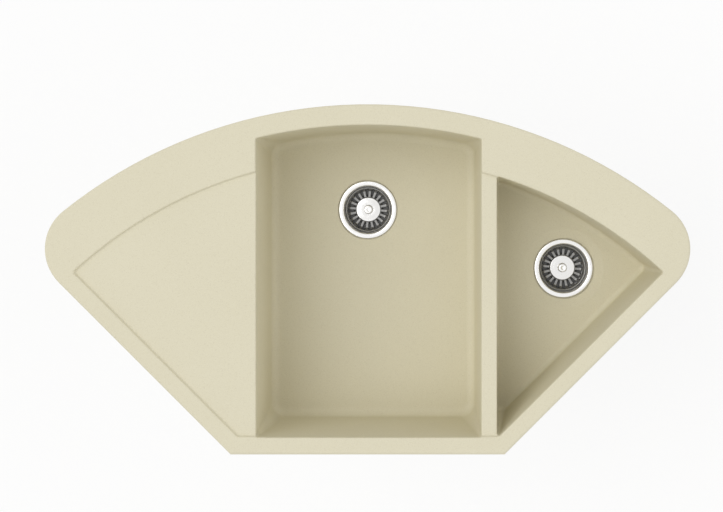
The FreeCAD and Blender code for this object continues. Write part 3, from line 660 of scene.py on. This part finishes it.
def screw_head(form):
    """A pan head with a cross recess, looking down, with its seat at zero."""
    cell = CROSS_CELL * MM
    bmesh.ops.create_grid(form, x_segments=5, y_segments=5, size=2.5 * cell)
    bmesh.ops.reverse_faces(form, faces=form.faces)
    cross = []
    for face in form.faces:
        near, far = sorted(abs(value) for value in face.calc_center_median().xy)
        if near < 0.5 * cell and far < 1.5 * cell:
            cross.append(face)
    sunk = bmesh.ops.extrude_face_region(form, geom=cross)
    tip = [item for item in sunk["geom"] if isinstance(item, bmesh.types.BMVert)]
    bmesh.ops.delete(form, geom=cross, context="FACES")
    bmesh.ops.translate(form, verts=tip, vec=(0, 0, CROSS_DEPTH * MM))
    bmesh.ops.scale(form, verts=tip, vec=(0.8, 0.8, 1))
    bmesh.ops.translate(form, verts=form.verts, vec=(0, 0, -SCREW_HEAD * MM))
    for r, z in ((3.3, -SCREW_HEAD + 0.1), (3.8, -SCREW_HEAD + 0.6), (SCREW_HEAD_R, -1.3),
                 (SCREW_HEAD_R, -0.2), (3.8, 0), (SCREW_R, 0)):
        rim = [edge for edge in form.edges if edge.is_boundary]
        grown = bmesh.ops.extrude_edge_only(form, edges=rim)
        verts = [item for item in grown["geom"] if isinstance(item, bmesh.types.BMVert)]
        for vert in verts:
            vert.co = (*(vert.co.xy.normalized() * r * MM), z * MM)
    bmesh.ops.holes_fill(form, edges=[edge for edge in form.edges if edge.is_boundary], sides=0)


def screw_thread(form, length):
    """The shank: a fine thread wound round a core."""
    core_r = (SCREW_R - 0.35) * MM
    core = bmesh.ops.create_cone(form, cap_ends=True, segments=SCREW_SIDES, radius1=core_r, radius2=core_r,
                                 depth=length * MM)["verts"]
    bmesh.ops.translate(form, verts=core, vec=(0, 0, length / 2 * MM))
    half = SCREW_PITCH * 0.42
    section = [form.verts.new((r * MM, 0, z * MM)) for r, z in
               ((SCREW_R - 0.4, 0), (SCREW_R, half), (SCREW_R - 0.4, 2 * half))]
    turns = (length - 2 * half) / SCREW_PITCH
    steps = int(turns * SCREW_SIDES)
    bmesh.ops.spin(form, geom=[form.faces.new(section)], cent=(0, 0, 0), axis=(0, 0, 1),
                   angle=turns * 2 * math.pi, steps=steps, dvec=(0, 0, turns * SCREW_PITCH * MM / steps),
                   use_merge=False)


def screw_middles():
    """The middle of each CAD screw's head, at the level of its seat."""
    form = bmesh.new()
    form.from_mesh(frame["nodes"]["clip_screws"].data)
    bmesh.ops.remove_doubles(form, verts=form.verts, dist=0.01 * MM)
    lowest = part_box("clip_screws")[0].z
    heads = []
    for vert in form.verts:
        if vert.co.z > lowest + 0.1 * MM:
            continue
        near = [head for head in heads if (sum(head, Vector()) / len(head) - vert.co).length < 12 * MM]
        if near:
            near[0].append(vert.co.copy())
        else:
            heads.append([vert.co.copy()])
    form.free()
    middles = []
    for head in heads:
        xs, ys = [point.x for point in head], [point.y for point in head]
        middles.append(Vector(((min(xs) + max(xs)) / 2, (min(ys) + max(ys)) / 2, lowest + SCREW_HEAD * MM)))
    return middles


def clip_screw_set():
    """Every clip's screw, in one piece as in the CAD."""
    low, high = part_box("clip_screws")
    form = bmesh.new()
    screw_head(form)
    screw_thread(form, (high.z - low.z) / MM - SCREW_HEAD)
    bmesh.ops.recalc_face_normals(form, faces=form.faces)
    screw = bpy.data.meshes.new("clip_screw")
    form.to_mesh(screw)
    form.free()
    form = bmesh.new()
    for middle in screw_middles():
        known = len(form.verts)
        form.from_mesh(screw)
        form.verts.ensure_lookup_table()
        bmesh.ops.translate(form, verts=form.verts[known:], vec=middle)
    publish(form, "clip_screw_set", "sink", finish_of["clip_steel"], ["clip_screws"])


clip_screw_set()


# --- stage: floor, light and camera ---

FLOOR_Z = -0.64
FLOOR_HALF = 6.0
FLOOR_GLOW = 0.80                  # how far the floor is lifted to white where the camera sees it
RIM_TOP = 10 * MM
CAMERA_HEIGHT = 2.25               # above the rim
CAMERA_PLACE = (0.096, 0.415)      # the point that the camera looks straight down on
VIEW_CENTRE = (-0.0098, 0.317)     # what lies in the middle of the picture
VIEW_WIDTH = 1.185                 # of the picture, at the rim
SENSOR = 36.0


def shown_or_lighting(tree, shown, lighting):
    """White to the camera and in reflections, and a plainer level for lighting."""
    path = tree.nodes.new("ShaderNodeLightPath")
    seen = path.outputs["Is Camera Ray"]
    for ray in ("Is Glossy Ray", "Is Transmission Ray"):
        seen = add_node(tree, "ShaderNodeMath", {0: seen, 1: path.outputs[ray]},
                        {"operation": "ADD", "use_clamp": True}).outputs[0]
    mix = tree.nodes.new("ShaderNodeMixShader")
    feed(tree.links, mix, {0: seen, 1: lighting, 2: shown})
    return mix.outputs[0]


def make_floor():
    mesh = bpy.data.meshes.new("floor")
    form = bmesh.new()
    bmesh.ops.create_grid(form, x_segments=1, y_segments=1, size=FLOOR_HALF)
    bmesh.ops.translate(form, vec=(0, 0.3, FLOOR_Z), verts=form.verts)
    form.to_mesh(mesh)
    form.free()
    floor = bpy.data.objects.new("floor", mesh)
    bpy.context.scene.collection.objects.link(floor)
    material = bpy.data.materials.new("floor_paint")
    material.use_nodes = True
    tree = material.node_tree
    shader = tree.nodes["Principled BSDF"]
    shader.inputs["Base Color"].default_value = (0.90, 0.90, 0.89, 1)
    shader.inputs["Roughness"].default_value = 0.9
    white = add_node(tree, "ShaderNodeEmission", {"Color": (1, 1, 1, 1), "Strength": 1.0}, {})
    half_white = tree.nodes.new("ShaderNodeMixShader")
    feed(tree.links, half_white, {0: FLOOR_GLOW, 1: shader.outputs[0], 2: white.outputs[0]})
    paint = shown_or_lighting(tree, half_white.outputs[0], shader.outputs[0])
    clear = tree.nodes.new("ShaderNodeBsdfTransparent")
    geometry = tree.nodes.new("ShaderNodeNewGeometry")
    mix = tree.nodes.new("ShaderNodeMixShader")
    feed(tree.links, mix, {0: geometry.outputs["Backfacing"], 1: paint, 2: clear.outputs[0]})
    tree.links.new(mix.outputs[0], tree.nodes["Material Output"].inputs["Surface"])
    mesh.materials.append(material)


def make_world(level):
    world = bpy.data.worlds.new("studio")
    bpy.context.scene.world = world
    world.use_nodes = True
    tree = world.node_tree
    lighting = tree.nodes["Background"]
    lighting.inputs["Strength"].default_value = level
    lighting.inputs["Color"].default_value = (1, 1, 1, 1)
    shown = add_node(tree, "ShaderNodeBackground", {"Color": (1, 1, 1, 1), "Strength": 1.0}, {})
    surface = shown_or_lighting(tree, shown.outputs[0], lighting.outputs[0])
    tree.links.new(surface, tree.nodes["World Output"].inputs["Surface"])


def make_sun(name, direction, spread, strength):
    """A broad, soft light from far away, shining along a direction."""
    sun = bpy.data.lights.new(name, "SUN")
    sun.angle = math.radians(spread)
    sun.energy = strength
    holder = bpy.data.objects.new(name, sun)
    holder.rotation_euler = Vector(direction).to_track_quat("-Z", "Y").to_euler()
    bpy.context.scene.collection.objects.link(holder)


def make_camera():
    camera = bpy.data.cameras.new("camera")
    camera.sensor_width = SENSOR
    camera.lens = SENSOR * CAMERA_HEIGHT / VIEW_WIDTH
    camera.shift_x = (VIEW_CENTRE[0] - CAMERA_PLACE[0]) / VIEW_WIDTH
    camera.shift_y = (VIEW_CENTRE[1] - CAMERA_PLACE[1]) / VIEW_WIDTH
    holder = bpy.data.objects.new("camera", camera)
    holder.location = (*CAMERA_PLACE, RIM_TOP + CAMERA_HEIGHT)
    bpy.context.scene.collection.objects.link(holder)
    bpy.context.scene.camera = holder


bpy.context.scene.view_settings.view_transform = "Standard"
make_floor()
make_world(0.70)
make_sun("skylight", (0.66, -0.10, -1.0), 50, 0.98)
make_sun("far_window", (-1.0, 0.0, -0.55), 40, 0.36)
make_camera()
